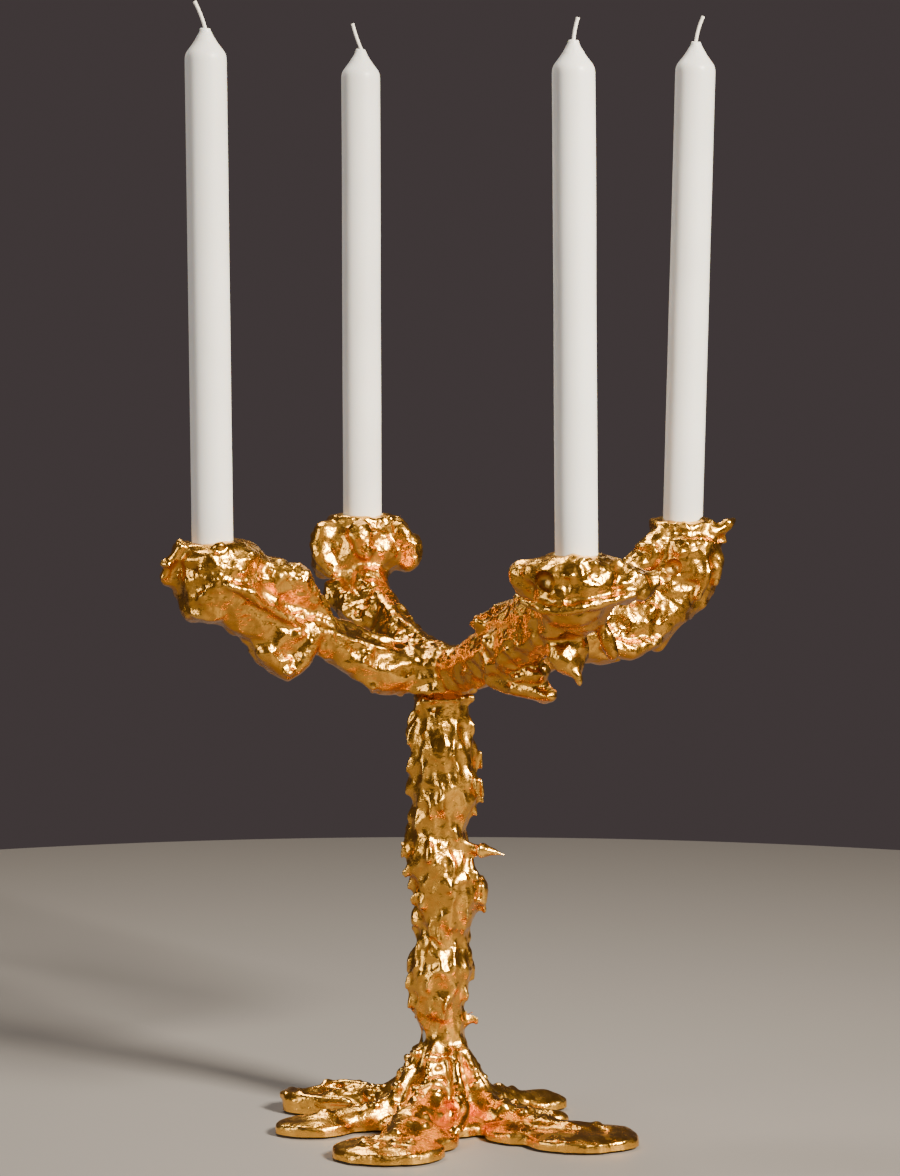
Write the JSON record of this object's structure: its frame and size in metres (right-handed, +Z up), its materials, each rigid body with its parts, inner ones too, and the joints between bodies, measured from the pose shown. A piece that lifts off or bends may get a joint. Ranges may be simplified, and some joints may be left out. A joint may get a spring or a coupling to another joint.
{
  "type": "tabletop candelabra",
  "caption": "Tabletop candelabra with a rough gilded drip-textured stem, a spreading puddle-like foot and crooked arms whose cups hold upright dinner candles.",
  "frame": {"origin": "on the stem's axis, at the surface the foot's pads rest on", "axes": "+Z up the stem, +X to the object's right as seen from its front, +Y to the back, so the front faces -Y"},
  "size_m": [0.3156, 0.3004, 0.6094],
  "materials": {
    "gilt_casting": "rough-cast, bright gold plating",
    "wax": "smooth ivory-white candle wax, satin",
    "wick_cotton": "braided waxed cotton",
    "steel": "zinc-plated fastener",
    "felt": "dark pressed felt"
  },
  "bodies": {
    "candelabra": {"foot": "gilt_casting", "stem": "gilt_casting", "crown_hub": "gilt_casting", "arm_front_left": "gilt_casting", "arm_front_right": "gilt_casting", "arm_back_left": "gilt_casting", "arm_back_right": "gilt_casting", "stud_front_left": "steel", "stud_front_right": "steel", "stud_back_left": "steel", "stud_back_right": "steel", "tie_rod": "steel", "foot_washer": "steel", "spring_washer": "steel", "foot_nut": "steel", "foot_pin": "steel", "crown_pin": "steel", "pad_center": "felt", "pad_front": "felt", "pad_right": "felt", "pad_left": "felt", "pad_back_left": "felt", "pad_back_right": "felt"},
    "candle_body_front_left": {"candle_front_left": "wax", "wick_front_left": "wick_cotton"},
    "candle_body_front_right": {"candle_front_right": "wax", "wick_front_right": "wick_cotton"},
    "candle_body_back_left": {"candle_back_left": "wax", "wick_back_left": "wick_cotton"},
    "candle_body_back_right": {"candle_back_right": "wax", "wick_back_right": "wick_cotton"}
  },
  "joints": [
    {"name": "candle_lift_front_left", "type": "slide", "parent": "candelabra", "child": "candle_body_front_left", "axis": [-0.0089, 0, 1], "range_m": [0, 0.05]},
    {"name": "candle_lift_front_right", "type": "slide", "parent": "candelabra", "child": "candle_body_front_right", "axis": [-0.0093, 0, 1], "range_m": [0, 0.05]},
    {"name": "candle_lift_back_left", "type": "slide", "parent": "candelabra", "child": "candle_body_back_left", "axis": [-0.0017, 0, 1], "range_m": [0, 0.05]},
    {"name": "candle_lift_back_right", "type": "slide", "parent": "candelabra", "child": "candle_body_back_right", "axis": [0.0223, 0, 0.9998], "range_m": [0, 0.05]}
  ]
}
